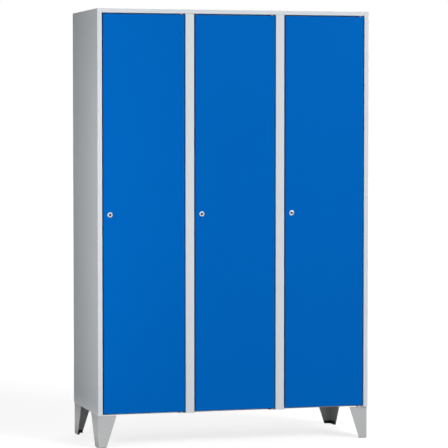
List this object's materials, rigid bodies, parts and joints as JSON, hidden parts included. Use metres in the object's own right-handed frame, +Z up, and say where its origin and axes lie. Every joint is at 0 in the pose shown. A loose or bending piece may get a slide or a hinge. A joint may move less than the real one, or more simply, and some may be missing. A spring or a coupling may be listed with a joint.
{
  "type": "locker cabinet",
  "caption": "Steel locker cabinet with side-by-side full-height blue doors in a light grey body, cam locks, hat shelves and coat rails, on tapered sheet-metal legs.",
  "frame": {"origin": "on the floor under the middle of the cabinet", "axes": "+X to the right and +Y to the back as seen from the doors, +Z up"},
  "size_m": [1.2, 0.5025, 1.85],
  "materials": {
    "body_paint": "light grey powder coat, satin",
    "leg_paint": "grey powder coat, satin",
    "door_paint": "blue powder coat, satin",
    "zinc_plate": "bright zinc plate",
    "pin_steel": "plain turned steel",
    "lock_chrome": "polished nickel plate",
    "bush_nylon": "natural nylon",
    "glide_plastic": "black moulded plastic",
    "buffer_rubber": "black rubber"
  },
  "bodies": {
    "carcass": {"left_side_panel": "body_paint", "right_side_panel": "body_paint", "roof_panel": "body_paint", "floor_panel": "body_paint", "back_panel": "body_paint", "partition_left": "body_paint", "partition_right": "body_paint", "mullion_left": "body_paint", "mullion_right": "body_paint", "hat_shelf_1": "body_paint", "hat_shelf_2": "body_paint", "hat_shelf_3": "body_paint", "coat_rail_1": "zinc_plate", "coat_rail_2": "zinc_plate", "coat_rail_3": "zinc_plate", "rail_sockets": "zinc_plate", "hinge_plates": "body_paint", "hinge_bushes": "bush_nylon", "leg_front_left": "leg_paint", "leg_front_right": "leg_paint", "leg_rear_left": "leg_paint", "leg_rear_right": "leg_paint", "foot_glides": "glide_plastic", "leg_bolts": "zinc_plate"},
    "door_1": {"door_skin_1": "door_paint", "door_stiffener_1": "door_paint", "hinge_pins_1": "pin_steel", "towel_rail_1": "zinc_plate", "door_buffers_1": "buffer_rubber", "lock_housing_1": "lock_chrome", "lock_nut_1": "zinc_plate"},
    "lock_1": {"lock_core_1": "lock_chrome", "lock_cam_1": "zinc_plate"},
    "hook_1a": {"coat_hook_1a": "zinc_plate"},
    "hook_1b": {"coat_hook_1b": "zinc_plate"},
    "hook_1c": {"coat_hook_1c": "zinc_plate"},
    "door_2": {"door_skin_2": "door_paint", "door_stiffener_2": "door_paint", "hinge_pins_2": "pin_steel", "towel_rail_2": "zinc_plate", "door_buffers_2": "buffer_rubber", "lock_housing_2": "lock_chrome", "lock_nut_2": "zinc_plate"},
    "lock_2": {"lock_core_2": "lock_chrome", "lock_cam_2": "zinc_plate"},
    "hook_2a": {"coat_hook_2a": "zinc_plate"},
    "hook_2b": {"coat_hook_2b": "zinc_plate"},
    "hook_2c": {"coat_hook_2c": "zinc_plate"},
    "door_3": {"door_skin_3": "door_paint", "door_stiffener_3": "door_paint", "hinge_pins_3": "pin_steel", "towel_rail_3": "zinc_plate", "door_buffers_3": "buffer_rubber", "lock_housing_3": "lock_chrome", "lock_nut_3": "zinc_plate"},
    "lock_3": {"lock_core_3": "lock_chrome", "lock_cam_3": "zinc_plate"},
    "hook_3a": {"coat_hook_3a": "zinc_plate"},
    "hook_3b": {"coat_hook_3b": "zinc_plate"},
    "hook_3c": {"coat_hook_3c": "zinc_plate"}
  },
  "joints": [
    {"name": "door_1_swing", "type": "hinge", "parent": "carcass", "child": "door_1", "pos_m": [-0.23467, -0.242, 0.985], "axis": [0, 0, 1], "range_deg": [0, 110]},
    {"name": "lock_1_turn", "type": "hinge", "parent": "door_1", "child": "lock_1", "pos_m": [-0.547, -0.25, 0.985], "axis": [0, 1, 0], "range_deg": [0, 90]},
    {"name": "hook_1a_slide", "type": "slide", "parent": "carcass", "child": "hook_1a", "axis": [1, 0, 0], "range_m": [-0.078, 0.044]},
    {"name": "hook_1b_slide", "type": "slide", "parent": "carcass", "child": "hook_1b", "axis": [1, 0, 0], "range_m": [-0.044, 0.044]},
    {"name": "hook_1c_slide", "type": "slide", "parent": "carcass", "child": "hook_1c", "axis": [1, 0, 0], "range_m": [-0.044, 0.078]},
    {"name": "door_2_swing", "type": "hinge", "parent": "carcass", "child": "door_2", "pos_m": [0.16467, -0.242, 0.985], "axis": [0, 0, 1], "range_deg": [0, 110]},
    {"name": "lock_2_turn", "type": "hinge", "parent": "door_2", "child": "lock_2", "pos_m": [-0.14767, -0.25, 0.985], "axis": [0, 1, 0], "range_deg": [0, 90]},
    {"name": "hook_2a_slide", "type": "slide", "parent": "carcass", "child": "hook_2a", "axis": [1, 0, 0], "range_m": [-0.078, 0.044]},
    {"name": "hook_2b_slide", "type": "slide", "parent": "carcass", "child": "hook_2b", "axis": [1, 0, 0], "range_m": [-0.044, 0.044]},
    {"name": "hook_2c_slide", "type": "slide", "parent": "carcass", "child": "hook_2c", "axis": [1, 0, 0], "range_m": [-0.044, 0.078]},
    {"name": "door_3_swing", "type": "hinge", "parent": "carcass", "child": "door_3", "pos_m": [0.564, -0.242, 0.985], "axis": [0, 0, 1], "range_deg": [0, 110]},
    {"name": "lock_3_turn", "type": "hinge", "parent": "door_3", "child": "lock_3", "pos_m": [0.25167, -0.25, 0.985], "axis": [0, 1, 0], "range_deg": [0, 90]},
    {"name": "hook_3a_slide", "type": "slide", "parent": "carcass", "child": "hook_3a", "axis": [1, 0, 0], "range_m": [-0.078, 0.044]},
    {"name": "hook_3b_slide", "type": "slide", "parent": "carcass", "child": "hook_3b", "axis": [1, 0, 0], "range_m": [-0.044, 0.044]},
    {"name": "hook_3c_slide", "type": "slide", "parent": "carcass", "child": "hook_3c", "axis": [1, 0, 0], "range_m": [-0.044, 0.078]}
  ]
}
